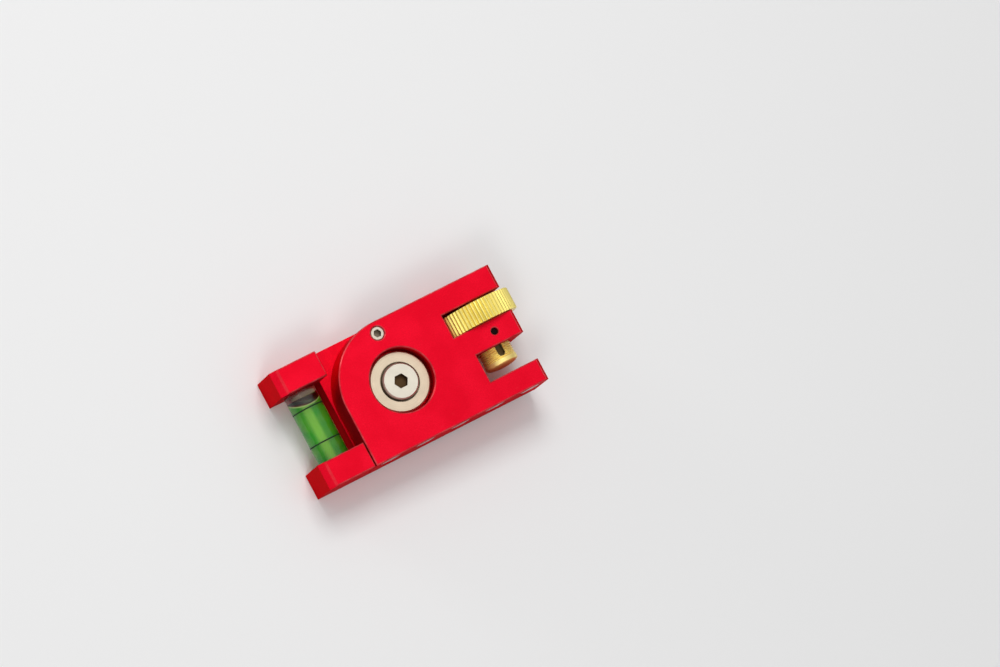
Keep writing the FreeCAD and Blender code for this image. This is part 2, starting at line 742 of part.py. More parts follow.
def check_and_export():
    doc.recompute()
    for item in doc.Objects:
        if "Invalid" in item.State or "Error" in item.State:
            raise RuntimeError(f"{item.Label} failed: {item.State}")
    for item in parts:
        if item.Shape.isNull() or not item.Shape.isValid() or not item.Shape.Solids:
            raise RuntimeError(f"{item.Label} has no valid solid")
    os.makedirs("parts", exist_ok=True)
    for item in parts:
        item.Shape.exportStep(f"parts/{item.Label}.step")


fill_sheet()
make_level_body()
make_vial_holder()
make_vial()
make_vial_plug()
make_pivot()
make_detent()
make_thumb_wheel()
make_clamp_stem()
make_key_pin()
make_magnets()
check_and_export()
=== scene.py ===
import math

import bpy
from mathutils import Matrix, Vector


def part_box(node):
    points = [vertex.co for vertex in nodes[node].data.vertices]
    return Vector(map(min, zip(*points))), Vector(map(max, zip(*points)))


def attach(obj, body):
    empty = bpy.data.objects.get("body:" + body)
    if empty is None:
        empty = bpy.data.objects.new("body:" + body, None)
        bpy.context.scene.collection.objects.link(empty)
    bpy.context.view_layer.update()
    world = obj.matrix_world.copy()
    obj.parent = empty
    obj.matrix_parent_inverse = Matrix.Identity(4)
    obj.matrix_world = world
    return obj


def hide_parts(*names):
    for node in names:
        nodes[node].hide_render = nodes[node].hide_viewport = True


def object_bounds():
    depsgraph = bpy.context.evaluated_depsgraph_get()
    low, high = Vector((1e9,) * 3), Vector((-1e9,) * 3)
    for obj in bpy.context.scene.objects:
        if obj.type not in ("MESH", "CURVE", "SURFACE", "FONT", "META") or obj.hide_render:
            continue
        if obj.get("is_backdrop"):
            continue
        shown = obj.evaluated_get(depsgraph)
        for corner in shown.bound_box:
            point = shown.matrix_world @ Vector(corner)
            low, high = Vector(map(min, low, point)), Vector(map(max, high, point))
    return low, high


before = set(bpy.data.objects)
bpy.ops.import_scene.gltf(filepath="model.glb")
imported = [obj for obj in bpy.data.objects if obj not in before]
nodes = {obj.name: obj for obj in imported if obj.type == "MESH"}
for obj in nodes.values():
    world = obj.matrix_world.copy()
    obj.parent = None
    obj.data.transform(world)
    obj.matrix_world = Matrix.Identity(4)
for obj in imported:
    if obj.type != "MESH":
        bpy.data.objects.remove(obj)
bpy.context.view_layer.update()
MM = 0.001


# ---- Block
# The body is milled from one aluminium bar, bead blasted and anodised red. Its edges are broken by a small
# cutter before the blasting, so they catch the light as thin lines, and they are painted pale pink as well,
# partly as worn anodising and partly as a painted highlight.

class Wire:
    """One socket in a material or in a Geometry Nodes tree. Python's operators on it add Math nodes, and
    node() adds any other node."""

    def __init__(self, tree, socket=None):
        self.tree = tree
        self.socket = socket

    def node(self, kind, settings=None, sockets=None, out=0):
        """Adds a node with its settings, and with a value or a link for each socket that is named."""
        made = self.tree.nodes.new(kind)
        for name, value in (settings or {}).items():
            setattr(made, name, value)
        for name, value in (sockets or {}).items():
            if isinstance(value, Wire):
                self.tree.links.new(value.socket, made.inputs[name])
            else:
                made.inputs[name].default_value = value
        return Wire(self.tree, made.outputs[out])

    def maths(self, operation, first, second=0.0):
        return self.node("ShaderNodeMath", {"operation": operation}, {0: first, 1: second})

    def __add__(self, other):
        return self.maths("ADD", self, other)

    def __radd__(self, other):
        return self.maths("ADD", other, self)

    def __sub__(self, other):
        return self.maths("SUBTRACT", self, other)

    def __rsub__(self, other):
        return self.maths("SUBTRACT", other, self)

    def __mul__(self, other):
        return self.maths("MULTIPLY", self, other)

    def __rmul__(self, other):
        return self.maths("MULTIPLY", other, self)

    def __truediv__(self, other):
        return self.maths("DIVIDE", self, other)

    def __abs__(self):
        return self.maths("ABSOLUTE", self)

    def between(self, low, high):
        """0 below low, 1 above high, and smooth between them."""
        return self.node("ShaderNodeMapRange", {"interpolation_type": "SMOOTHSTEP"},
                         {"Value": self, "From Min": low, "From Max": high})


def new_finish(name):
    """A bare material, the wire that its nodes hang on, and the Object coordinates."""
    made = bpy.data.materials.new(name)
    made.use_nodes = True
    made.node_tree.nodes.clear()
    start = Wire(made.node_tree)
    place = start.node("ShaderNodeTexCoord", out="Object")
    return made, start, place


def close_finish(finish, shader):
    end = finish.node_tree.nodes.new("ShaderNodeOutputMaterial")
    finish.node_tree.links.new(shader.socket, end.inputs["Surface"])
    return finish


def coordinate(start, vector, axis):
    """The X, Y or Z of a vector."""
    return start.node("ShaderNodeSeparateXYZ", None, {"Vector": vector}, out=axis)


def tint(start, mask, low, high):
    """A colour between two, by a mask. The Mix node takes colours at sockets 6 and 7 and gives one at 2."""
    return start.node("ShaderNodeMix", {"data_type": "RGBA"}, {0: mask, 6: low, 7: high}, out=2)


def speckle(start, place, scale, detail=2.0, roughness=0.5):
    """Soft noise from 0 to 1, with that many grains to the metre."""
    return start.node("ShaderNodeTexNoise", None, {
        "Vector": place, "Scale": scale, "Detail": detail, "Roughness": roughness})


HALF_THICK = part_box("level_body")[1].z / 2
EDGE_REACH = 0.34 * MM
EDGE_FULL = 0.28 * MM
BLAST_GRAIN = 5200.0
GRIT_GRAIN = 2900.0
DYE_CLOUDS = 110.0
WEAR_PATCHES = 420.0
BLAST_DEPTH = 0.016 * MM
RED_DEEP = (0.640, 0.0034, 0.017, 1)
RED_BRIGHT = (0.730, 0.0054, 0.024, 1)
RED_GRAIN = (0.540, 0.0026, 0.013, 1)
RED_WORN_AND_HIGHLIGHT = (0.95, 0.17, 0.18, 1)
RED_GRAZING = (0.62, 0.02, 0.05, 1)


def red_anodising():
    """Dyed and blasted aluminium, a little paler where the rubbed streaks have worn, and pale pink and less
    metallic on the broken edges, partly as wear and partly as a painted highlight.
    """
    finish, start, place = new_finish("red_anodising")
    blast = speckle(start, place, BLAST_GRAIN)
    grit = speckle(start, place, GRIT_GRAIN)
    cloud = speckle(start, place, DYE_CLOUDS, 3.0)
    slanted = start.node("ShaderNodeMapping", None, {
        "Vector": place, "Rotation": (0.3, 0.2, 0.9), "Scale": (0.09, 1.0, 0.8)})
    rubbed = speckle(start, slanted, BLAST_GRAIN, 1.0).between(0.70, 0.80)
    tilt = abs(coordinate(start, start.node("ShaderNodeTexCoord", out="Normal"), "Z"))
    height = coordinate(start, place, "Z")
    outer = abs(height - HALF_THICK).between(HALF_THICK - EDGE_REACH, HALF_THICK - EDGE_FULL)
    edge = outer * tilt.between(0.3, 0.55) * (1 - tilt.between(0.86, 0.95))
    wear_and_highlight = edge * (0.45 + 0.55 * speckle(start, place, WEAR_PATCHES, 3.0, 0.6).between(0.35, 0.70))
    dye = tint(start, cloud.between(0.3, 0.7), RED_DEEP, RED_BRIGHT)
    grained = tint(start, grit.between(0.35, 0.65) * 0.45, dye, RED_GRAIN)
    # Painted highlight and wear: the broken edges are painted pale pink and made less metallic, so they shine
    # as thin lines.
    colour = tint(start, wear_and_highlight * 0.55 + rubbed * 0.05, grained, RED_WORN_AND_HIGHLIGHT)
    bump = start.node("ShaderNodeBump", None, {
        "Height": blast * 0.6 + grit * 0.6, "Distance": BLAST_DEPTH, "Strength": 0.8})
    shader = start.node("ShaderNodeBsdfPrincipled", None, {
        "Base Color": colour, "Metallic": 0.93 - 0.50 * wear_and_highlight, "Specular Tint": RED_GRAZING, "Normal": bump,
        "Roughness": 0.38 + 0.10 * cloud + 0.08 * grit - 0.10 * edge - 0.06 * rubbed})
    return close_finish(finish, shader)


red = red_anodising()
nodes["level_body"].material_slots[0].material = red


# ---- Vial holder
# One milled piece in the same red anodising: a tongue that swings in the block's recess, with a block at each
# end of the vial. A red cap closes the bore where the vial goes in.

nodes["vial_holder"].material_slots[0].material = red
nodes["vial_plug"].material_slots[0].material = red


# ---- Vial
# A clear acrylic vial filled with green spirit, with a bubble at its upper end and two black rings painted
# round it. Spirit wets the wall, so the clear part is one solid rod, and the spirit and the bubble are cores.

vial_low, vial_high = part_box("vial_tube")
vial_x = (vial_low.x + vial_high.x) / 2
vial_z = (vial_low.z + vial_high.z) / 2
vial_radius = (vial_high.x - vial_low.x) / 2
core_low, core_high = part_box("vial_liquid")
core_radius = (core_high.x - core_low.x) / 2
VIAL_SEGMENTS = 96
VIAL_SHARP = 50
VIAL_CORNER = 0.8 * MM
SPIRIT_CORNER = 0.5 * MM
BUBBLE_CORNER = 1.2 * MM
BUBBLE_FOOT = 7.3 * MM
BUBBLE_DISH = 0.35 * MM
BUBBLE_GAP = 0.05 * MM
SURFACE_STEPS = 14
LEAN_ACROSS = -0.06
LEAN_FORWARD = -0.44
LEVEL_START = 3.0 * MM


def turned(name, profile, lean_from=0.0, lean_to=0.0):
    """A closed piece turned round the vial's axis. Points are (radius, y) from pole to pole, and those in the
    leaning stretch are sheared, as a liquid's surface is that leans in its tube."""
    points, faces, rings = [], [], []
    for radius, y in profile:
        if radius == 0:
            rings.append([len(points)] * VIAL_SEGMENTS)
            points.append((vial_x, y, vial_z))
            continue
        rings.append(list(range(len(points), len(points) + VIAL_SEGMENTS)))
        for k in range(VIAL_SEGMENTS):
            angle = 2 * math.pi * k / VIAL_SEGMENTS
            across, forward = radius * math.sin(angle), radius * math.cos(angle)
            leaning = lean_from < y < lean_to
            rise = LEAN_ACROSS * across + LEAN_FORWARD * forward if leaning else 0.0
            points.append((vial_x + across, y + rise, vial_z + forward))
    for low, high in zip(rings, rings[1:]):
        for k in range(VIAL_SEGMENTS):
            n = (k + 1) % VIAL_SEGMENTS
            faces.append(list(dict.fromkeys([low[k], low[n], high[n], high[k]])))
    mesh = bpy.data.meshes.new(name)
    mesh.from_pydata(points, [], faces)
    mesh.validate()
    made = bpy.data.objects.new(name, mesh)
    bpy.context.scene.collection.objects.link(made)
    mesh.polygons.foreach_set("use_smooth", [True] * len(mesh.polygons))
    mesh.set_sharp_from_angle(angle=math.radians(VIAL_SHARP))
    return made


def rounded_end(radius, end, corner, steps=8):
    """Half of a rod's profile, from the pole at its end to its side. A negative corner is an upper end."""
    size = abs(corner)
    return [(0, end)] + [(radius - size + size * math.sin(a), end + corner * (1 - math.cos(a)))
                         for a in (math.pi / 2 * k / steps for k in range(steps + 1))]


vial_clear = turned("vial_clear", rounded_end(vial_radius, vial_low.y, VIAL_CORNER)
                    + rounded_end(vial_radius, vial_high.y, -VIAL_CORNER)[::-1])
finish, start, place = new_finish("clear_acrylic")
scuff = speckle(start, place, 1500.0, 3.0)
acrylic = start.node("ShaderNodeBsdfPrincipled", None, {
    "Base Color": (0.97, 0.985, 0.965, 1), "Roughness": 0.14 + 0.06 * scuff.between(0.45, 0.75),
    "IOR": 1.49, "Transmission Weight": 1.0})
vial_clear.data.materials.append(close_finish(finish, acrylic))
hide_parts("vial_tube", "vial_cap")
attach(vial_clear, "holder")

# The spirit's surface is dished and leans. A pale painted highlight lies on its dished top and where it
# climbs the wall, and a lighter band of painted light runs down one side of the spirit.
SPIRIT_DEEP = (0.026, 0.480, 0.018, 1)
SPIRIT_PAINTED_LIT = (0.340, 0.880, 0.078, 1)
SPIRIT_YELLOW = (0.290, 0.690, 0.045, 1)
MENISCUS_HIGHLIGHT = (0.720, 0.950, 0.280, 1)
LIT_RISE = (-2.6 * MM, -1.5 * MM)
LIT_FALL = (-0.6 * MM, 0.4 * MM)
MENISCUS_FROM = 0.42 * MM
MENISCUS_FULL = 0.26 * MM
surface = [(core_radius * math.cos(a), BUBBLE_FOOT - BUBBLE_DISH * math.sin(a))
           for a in (math.pi / 2 * k / SURFACE_STEPS for k in range(SURFACE_STEPS))]
surface.append((0, BUBBLE_FOOT - BUBBLE_DISH))
vial_spirit = turned("vial_spirit", rounded_end(core_radius, core_low.y, SPIRIT_CORNER) + surface,
                     LEVEL_START, core_high.y)
finish, start, place = new_finish("green_spirit")
murk = speckle(start, place, 260.0)
x, y, z = [coordinate(start, place, axis) for axis in "XYZ"]
across, forward = x - vial_x, z - vial_z
# Painted light: a paler green band down one side of the spirit, where light would fall through the vial.
painted_lit_band = across.between(*LIT_RISE) * (1 - across.between(*LIT_FALL))
shade = tint(start, painted_lit_band, SPIRIT_DEEP, SPIRIT_PAINTED_LIT)
green = tint(start, murk.between(0.3, 0.7) * 0.35, shade, SPIRIT_YELLOW)
depth = y - LEAN_ACROSS * across - LEAN_FORWARD * forward
# Painted highlight: pale green near the surface's edge on the wall and on the dished top.
rim = depth.between(BUBBLE_FOOT - MENISCUS_FROM, BUBBLE_FOOT - MENISCUS_FULL)
dish = coordinate(start, start.node("ShaderNodeTexCoord", out="Normal"), "Y").between(0.25, 0.5)
green = tint(start, start.maths("MAXIMUM", rim, dish), green, MENISCUS_HIGHLIGHT)
spirit = start.node("ShaderNodeBsdfPrincipled", None, {
    "Base Color": green, "Roughness": 0.10 + 0.10 * murk, "IOR": 1.08, "Transmission Weight": 0.40})
vial_spirit.data.materials.append(close_finish(finish, spirit))
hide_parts("vial_liquid")
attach(vial_spirit, "holder")

air = [(r, y + BUBBLE_GAP) for r, y in surface[::-1]]
vial_bubble = turned("vial_bubble", air + rounded_end(core_radius, core_high.y, -BUBBLE_CORNER)[::-1],
                     LEVEL_START, BUBBLE_FOOT + 2 * BUBBLE_GAP)
finish, start, place = new_finish("bubble_wall")
film = speckle(start, place, 420.0, 3.0)
wall = start.node("ShaderNodeBsdfPrincipled", None, {
    "Base Color": tint(start, film, (0.60, 0.62, 0.40, 1), (0.86, 0.90, 0.72, 1)), "Roughness": 0.06,
    "IOR": 1.18, "Transmission Weight": 1.0})
vial_bubble.data.materials.append(close_finish(finish, wall))
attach(vial_bubble, "holder")


class Tree:
    """A Geometry Nodes tree with named inputs, whose fields are wires too."""

    def __init__(self, name, inputs):
        self.group = bpy.data.node_groups.new(name, "GeometryNodeTree")
        self.group.interface.new_socket("Geometry", in_out="OUTPUT", socket_type="NodeSocketGeometry")
        self.values = {}
        for label, value in inputs.items():
            kind = "NodeSocketInt" if isinstance(value, int) else "NodeSocketFloat"
            made = self.group.interface.new_socket(label, in_out="INPUT", socket_type=kind)
            self.values[made.identifier] = value
        entry = self.group.nodes.new("NodeGroupInput")
        self.start = Wire(self.group)
        self.size = {label: Wire(self.group, entry.outputs[label]) for label in inputs}

    def mesh(self, name, geometry, material, sharp):
        """Ends the tree with that geometry and gives its result as a plain mesh object."""
        real = self.start.node("GeometryNodeRealizeInstances", None, {"Geometry": geometry})
        coated = self.start.node("GeometryNodeSetMaterial", None, {"Geometry": real, "Material": material})
        end = self.group.nodes.new("NodeGroupOutput")
        self.group.links.new(coated.socket, end.inputs["Geometry"])
        carrier = bpy.data.objects.new(name + "_tree", bpy.data.meshes.new(name + "_tree"))
        bpy.context.scene.collection.objects.link(carrier)
        modifier = carrier.modifiers.new("tree", "NODES")
        modifier.node_group = self.group
        for key, value in self.values.items():
            modifier[key] = value
        depsgraph = bpy.context.evaluated_depsgraph_get()
        data = bpy.data.meshes.new_from_object(carrier.evaluated_get(depsgraph), depsgraph=depsgraph)
        data.name = name
        carrier.modifiers.remove(modifier)
        bpy.data.objects.remove(carrier)
        data.polygons.foreach_set("use_smooth", [True] * len(data.polygons))
        data.set_sharp_from_angle(angle=math.radians(sharp))
        made = bpy.data.objects.new(name, data)
        bpy.context.scene.collection.objects.link(made)
        return made


RING_WIDTH = 0.36 * MM
RING_PROUD = 0.04 * MM
RING_SUNK = 0.1 * MM
RING_CORNER = 0.02 * MM
RING_COLUMNS = 96
CORNER_STEPS = 3
GROOVE_CREST = 0.25
RING_SHARP = 14
RING_WELD = 0.0005 * MM


def ring_piece(name, centre, inner, outer, width, corner, teeth, depth, columns, material):
    """A ring round an axis along Y, with rounded corners and, where there are teeth, V grooves in its rim."""
    tree = Tree(name + "_ring", {
        "Inner Radius": inner, "Outer Radius": outer, "Width": width, "Corner": corner,
        "Teeth": teeth, "Tooth Depth": depth, "Columns": columns})
    start, size = tree.start, tree.size
    section = start.node("GeometryNodeCurvePrimitiveQuadrilateral", None, {
        "Width": size["Outer Radius"] - size["Inner Radius"], "Height": size["Width"]})
    section = start.node("GeometryNodeFilletCurve", {"mode": "POLY"}, {
        "Curve": section, "Count": CORNER_STEPS, "Radius": size["Corner"], "Limit Radius": True})
    count = start.node("GeometryNodeAttributeDomainSize", {"component": "CURVE"}, {"Geometry": section})
    around = size["Columns"] + 1
    grid = start.node("GeometryNodeMeshGrid", None, {
        "Size X": 1.0, "Size Y": 1.0, "Vertices X": count + 1, "Vertices Y": around})
    index = start.node("GeometryNodeInputIndex")
    row = start.maths("FLOOR", (index + 0.5) / around)
    column = index - row * around
    spot = start.node("GeometryNodeSampleIndex", {"data_type": "FLOAT_VECTOR", "domain": "POINT"}, {
        "Geometry": section, "Value": start.node("GeometryNodeInputPosition"),
        "Index": start.maths("MODULO", row, count)})
    reach, along = [coordinate(start, spot, axis) for axis in "XY"]
    turn = column / size["Columns"]
    groove = 1 - abs(start.maths("FRACT", turn * size["Teeth"]) * 2.0 - 1.0)
    ridge = start.maths("MAXIMUM", groove * (1 + GROOVE_CREST) - GROOVE_CREST, 0.0)
    radius = start.maths("MINIMUM", reach + (size["Inner Radius"] + size["Outer Radius"]) / 2,
                         size["Outer Radius"] - size["Tooth Depth"] * ridge)
    angle = turn * (2 * math.pi)
    bent = start.node("ShaderNodeCombineXYZ", None, {
        "X": radius * start.maths("COSINE", angle) + centre[0], "Y": along + centre[1],
        "Z": radius * start.maths("SINE", angle) + centre[2]})
    moved = start.node("GeometryNodeSetPosition", None, {"Geometry": grid, "Position": bent})
    closed = start.node("GeometryNodeMergeByDistance", None, {"Geometry": moved, "Distance": RING_WELD})
    return tree.mesh(name, closed, material, RING_SHARP)


finish, start, place = new_finish("black_ring_ink")
ink = start.node("ShaderNodeBsdfPrincipled", None, {
    "Base Color": (0.006, 0.012, 0.006, 1), "Roughness": 0.55 + 0.2 * speckle(start, place, 2500.0),
    "Specular IOR Level": 0.2})
close_finish(finish, ink)
for node in ("vial_line_low", "vial_line_high"):
    low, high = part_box(node)
    ring = ring_piece(node.replace("line", "ring"), (vial_x, (low.y + high.y) / 2, vial_z),
                      vial_radius - RING_SUNK, vial_radius + RING_PROUD, RING_WIDTH, RING_CORNER,
                      teeth=1, depth=0.0, columns=RING_COLUMNS, material=finish)
    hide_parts(node)
    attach(ring, "holder")


# ---- Pivot
# A turned stainless disc in the counterbore and a button screw with a hexagon socket hold the tongue. The
# faces keep the fine rings of the lathe, and brown is painted in the gap round the screw, at the foot of its
# head and in its socket, as grease and as painted shade.

GREASE_AND_SHADE_BROWN = (0.085, 0.046, 0.018, 1)
RING_DEPTH = 0.008 * MM
SOCKET_DEEP = 0.3 * MM
SOCKET_LIP = 0.02 * MM
SCREW_SOCKET = (2.0 * MM, 2.1 * MM)
DISC_GAP = (5.40 * MM, 5.52 * MM)


def lathe_finish(name, colour, roughness, axis, centre, rings_per_mm, metallic=0.88, grease_and_shade=None):
    """Metal turned round an axis along Y or Z: fine rings, slight stains, and brown where a mask is given,
    for grease and painted shade.
    """
    finish, start, place = new_finish(name)
    x, y, z = [coordinate(start, place, axis) for axis in "XYZ"]
    up, along = (y, z) if axis == "Z" else (z, y)
    across, up = x - centre[0], up - centre[1]
    radius = start.maths("SQRT", across * across + up * up)
    flat = start.node("ShaderNodeCombineXYZ", None, {"X": radius, "Y": along})
    rings = speckle(start, flat, rings_per_mm / MM)
    stain = speckle(start, place, 260.0, 3.0)
    stained, grooved = [tuple(share * c for c in colour[:3]) + (1,) for share in (0.90, 0.72)]
    shade = tint(start, stain.between(0.3, 0.75), colour, stained)
    shade = tint(start, rings.between(0.35, 0.65) * 0.22, shade, grooved)
    rough = roughness + 0.12 * rings - 0.04 * stain
    if grease_and_shade:
        # Brown painted by the mask stands for grease and for painted shade in gaps, recesses and sockets.
        dark = grease_and_shade(radius, along)
        shade = tint(start, dark, shade, GREASE_AND_SHADE_BROWN)
        rough = rough + dark * 0.15
    bump = start.node("ShaderNodeBump", None, {"Height": rings, "Distance": RING_DEPTH, "Strength": 0.6})
    shader = start.node("ShaderNodeBsdfPrincipled", None, {
        "Base Color": shade, "Metallic": metallic, "Normal": bump, "Roughness": rough})
    return close_finish(finish, shader)


def in_socket(radius, height, wall, top):
    """1 in a hexagon socket, and 0 outside its wall and on the face round it."""
    return (1 - radius.between(*wall)) * (1 - height.between(top - SOCKET_DEEP, top - SOCKET_LIP))


disc_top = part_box("pivot_disc")[1].z
head_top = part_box("pivot_screw")[1].z
head_foot = (disc_top - 1.0 * MM, head_top - 0.45 * MM)
# Painted shade and grease: the disc is brown inside the gap round the screw's head.
disc_steel = lathe_finish(
    "disc_stainless", (0.65, 0.54, 0.40, 1), roughness=0.36, axis="Z", centre=(0, 0), rings_per_mm=7.0,
    grease_and_shade=lambda radius, height: (1 - radius.between(*DISC_GAP)) * 0.75)
# Painted shade and grease: the head is darker towards its foot, and brown in its hexagon socket.
head_steel = lathe_finish(
    "screw_stainless", (0.69, 0.64, 0.54, 1), roughness=0.33, axis="Z", centre=(0, 0), rings_per_mm=10.0,
    grease_and_shade=lambda radius, height: (1 - height.between(*head_foot)) * 0.8
    + in_socket(radius, height, SCREW_SOCKET, head_top) * 0.85)
nodes["pivot_disc"].material_slots[0].material = disc_steel
nodes["pivot_screw"].material_slots[0].material = head_steel


# ---- Detent and spring washer
# A stainless set screw presses a spring and a ball on the tongue, and a dished washer under the disc keeps
# the tongue from rattling. The springs and the ball are plain hardened steel.

SET_SCREW_SOCKET = (1.05 * MM, 1.2 * MM)
set_low, set_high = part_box("detent_set_screw")
set_centre = ((set_low.x + set_high.x) / 2, (set_low.y + set_high.y) / 2)
# Painted shade and grease: brown in the set screw's hexagon socket.
set_steel = lathe_finish(
    "set_screw_stainless", (0.58, 0.52, 0.43, 1), roughness=0.38, axis="Z", centre=set_centre,
    rings_per_mm=10.0,
    grease_and_shade=lambda radius, height: in_socket(radius, height, SET_SCREW_SOCKET, set_high.z) * 0.75)
nodes["detent_set_screw"].material_slots[0].material = set_steel

finish, start, place = new_finish("hardened_steel")
heat = speckle(start, place, 700.0, 3.0)
hard = start.node("ShaderNodeBsdfPrincipled", None, {
    "Base Color": tint(start, heat, (0.30, 0.30, 0.31, 1), (0.44, 0.43, 0.42, 1)), "Metallic": 1.0,
    "Roughness": 0.22 + 0.2 * heat})
close_finish(finish, hard)
for name in ("spring_washer", "detent_spring", "detent_ball"):
    nodes[name].material_slots[0].material = finish


# ---- Thumb wheel
# Turned from bright brass, with a straight knurl rolled all round. It is captive in its slot, and its thread
# drives the stem.

wheel_low, wheel_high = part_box("thumb_wheel")
wheel_x = (wheel_low.x + wheel_high.x) / 2
wheel_z = (wheel_low.z + wheel_high.z) / 2
wheel_radius = (wheel_high.x - wheel_low.x) / 2
STEM_RADIUS = 4.75 * MM
WHEEL_BORE = STEM_RADIUS + 0.06 * MM
WHEEL_CORNER = 0.20 * MM
WHEEL_UNDER = 0.005 * MM
KNURL_TEETH = 60
KNURL_DEPTH = 0.38 * MM
COLUMNS_PER_TOOTH = 8
wheel_brass = lathe_finish(
    "wheel_brass", (0.95, 0.79, 0.21, 1), roughness=0.32, axis="Y", centre=(wheel_x, wheel_z),
    rings_per_mm=6.0, metallic=0.80)
wheel = ring_piece("thumb_wheel_knurled", (wheel_x, (wheel_low.y + wheel_high.y) / 2, wheel_z), WHEEL_BORE,
                   wheel_radius - WHEEL_UNDER, wheel_high.y - wheel_low.y, WHEEL_CORNER,
                   KNURL_TEETH, KNURL_DEPTH, KNURL_TEETH * COLUMNS_PER_TOOTH, wheel_brass)
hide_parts("thumb_wheel")
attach(wheel, "wheel")


# ---- Clamp stem
# A brass screw, 40 threads to the inch, with a smooth rounded tip that pinches the conduit. A keyway milled
# in its front side takes the key pin, so the stem slides and never turns. Brown is painted in the keyway and
# where the stem is thinner than the thread's roots, away from the tip, as old grease and as painted shade.

stem_low, stem_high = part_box("clamp_stem")
STEM_PITCH = 0.635 * MM
STEM_THREAD = 0.32 * MM
STEM_DOME = 1.25 * MM
STEM_SMOOTH = 2.1 * MM
STEM_CHAMFER = 0.5 * MM
STEM_SHARP = 38
STEM_WELD = 0.0004 * MM
END_ROW = 0.001 * MM
THREAD_FLAT = 0.15
THREAD_RUN_OUT = 0.3
GREASY_SHADED_CORE = (3.6 * MM, 4.36 * MM)
KEYWAY_WIDTH = 2.1 * MM
KEYWAY_DEPTH = 2.0 * MM
KEYWAY_START = 2.8 * MM
KEYWAY_LENGTH = 11.0 * MM
KEYWAY_SEGMENTS = 32

stem_tree = Tree("threaded_stem", {
    "Length": stem_high.y - stem_low.y, "Radius": STEM_RADIUS, "Pitch": STEM_PITCH,
    "Thread Depth": STEM_THREAD, "Dome": STEM_DOME, "Smooth End": STEM_SMOOTH, "Chamfer": STEM_CHAMFER,
    "Rows": 300, "Columns": 97})
size, start = stem_tree.size, stem_tree.start
grid = start.node("GeometryNodeMeshGrid", None, {
    "Size X": size["Length"], "Size Y": 2 * math.pi,
    "Vertices X": size["Rows"], "Vertices Y": size["Columns"]})
spot_x, spot_y = [coordinate(start, start.node("GeometryNodeInputPosition"), axis) for axis in "XY"]
travel = spot_x + size["Length"] / 2
turn = spot_y + math.pi
near_tip = 1 - start.maths("MINIMUM", travel / size["Dome"], 1.0)
dome = start.maths("SQRT", start.maths("MAXIMUM", 1 - near_tip * near_tip, 0.0))
left = size["Length"] - travel
at_top = 1 - start.maths("MINIMUM", left / size["Chamfer"], 1.0)
phase = start.maths("FRACT", travel / size["Pitch"] - turn / (2 * math.pi) + 1.0)
ridge = abs(phase * 2.0 - 1.0)
flat_ridge = start.maths("MAXIMUM", ridge * (1 + 2 * THREAD_FLAT) - THREAD_FLAT, 0.0)
flat_ridge = start.maths("MINIMUM", flat_ridge, 1.0)
fade = start.node("ShaderNodeMapRange", {"clamp": True}, {
    "Value": travel, "From Min": size["Smooth End"],
    "From Max": size["Smooth End"] + size["Pitch"] * THREAD_RUN_OUT})
shell = size["Radius"] * dome - size["Thread Depth"] * flat_ridge * fade - size["Chamfer"] * at_top
radius = shell * (1 - start.maths("LESS_THAN", left, END_ROW))
bent = start.node("ShaderNodeCombineXYZ", None, {
    "X": radius * start.maths("SINE", turn), "Y": travel, "Z": radius * start.maths("COSINE", turn)})
moved = start.node("GeometryNodeSetPosition", None, {"Geometry": grid, "Position": bent})
closed = start.node("GeometryNodeMergeByDistance", None, {"Geometry": moved, "Distance": STEM_WELD})

slot_side = start.node("GeometryNodeMeshCube", None, {
    "Size": (KEYWAY_WIDTH, KEYWAY_LENGTH - KEYWAY_WIDTH, 2 * KEYWAY_DEPTH)})
slot_end = start.node("GeometryNodeMeshCylinder", {"fill_type": "NGON"}, {
    "Vertices": KEYWAY_SEGMENTS, "Radius": KEYWAY_WIDTH / 2, "Depth": 2 * KEYWAY_DEPTH})
slot_reach = (KEYWAY_LENGTH - KEYWAY_WIDTH) / 2
middle = KEYWAY_START + KEYWAY_LENGTH / 2
cut = closed
for shape, shift in ((slot_side, 0), (slot_end, -slot_reach), (slot_end, slot_reach)):
    cutter = start.node("GeometryNodeTransform", None, {
        "Geometry": shape, "Translation": (0, middle + shift, STEM_RADIUS)})
    cut = start.node("GeometryNodeMeshBoolean", {"operation": "DIFFERENCE", "solver": "EXACT"},
                     {"Mesh 1": cut, "Mesh 2": cutter})
placed = start.node("GeometryNodeTransform", None, {
    "Geometry": cut, "Translation": ((stem_low.x + stem_high.x) / 2, stem_low.y, wheel_z)})
grease_shade_start = (stem_low.y + 2.5 * MM, stem_low.y + 2.7 * MM)
# Painted shade and grease: brown in the keyway and where the stem is thinner than the thread's roots.
stem_brass = lathe_finish(
    "stem_brass", (0.97, 0.79, 0.26, 1), roughness=0.38, axis="Y", centre=(wheel_x, wheel_z),
    rings_per_mm=9.0, metallic=0.58,
    grease_and_shade=lambda radius, along: (1 - radius.between(*GREASY_SHADED_CORE)) * along.between(*grease_shade_start) * 0.92)
stem = stem_tree.mesh("stem_threaded", placed, stem_brass, STEM_SHARP)
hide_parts("clamp_stem")
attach(stem, "stem")


# ---- Key pin
# A blackened pin pressed in the middle arm through the front face, with its end in the stem's keyway. From
# the front it looks like a small dark hole.

finish, start, place = new_finish("black_pin_oxide")
oil = speckle(start, place, 1400.0)
pin = start.node("ShaderNodeBsdfPrincipled", None, {
    "Base Color": tint(start, oil, (0.006, 0.003, 0.003, 1), (0.016, 0.008, 0.008, 1)),
    "Roughness": 0.70 + 0.25 * oil, "Specular IOR Level": 0.06})
nodes["key_pin"].material_slots[0].material = close_finish(finish, pin)


# ---- Magnets
# Nickel-plated discs pressed in both long edges, a tenth of a millimetre below the surface. They are finely
# scratched, and a little iron dust clings to them.

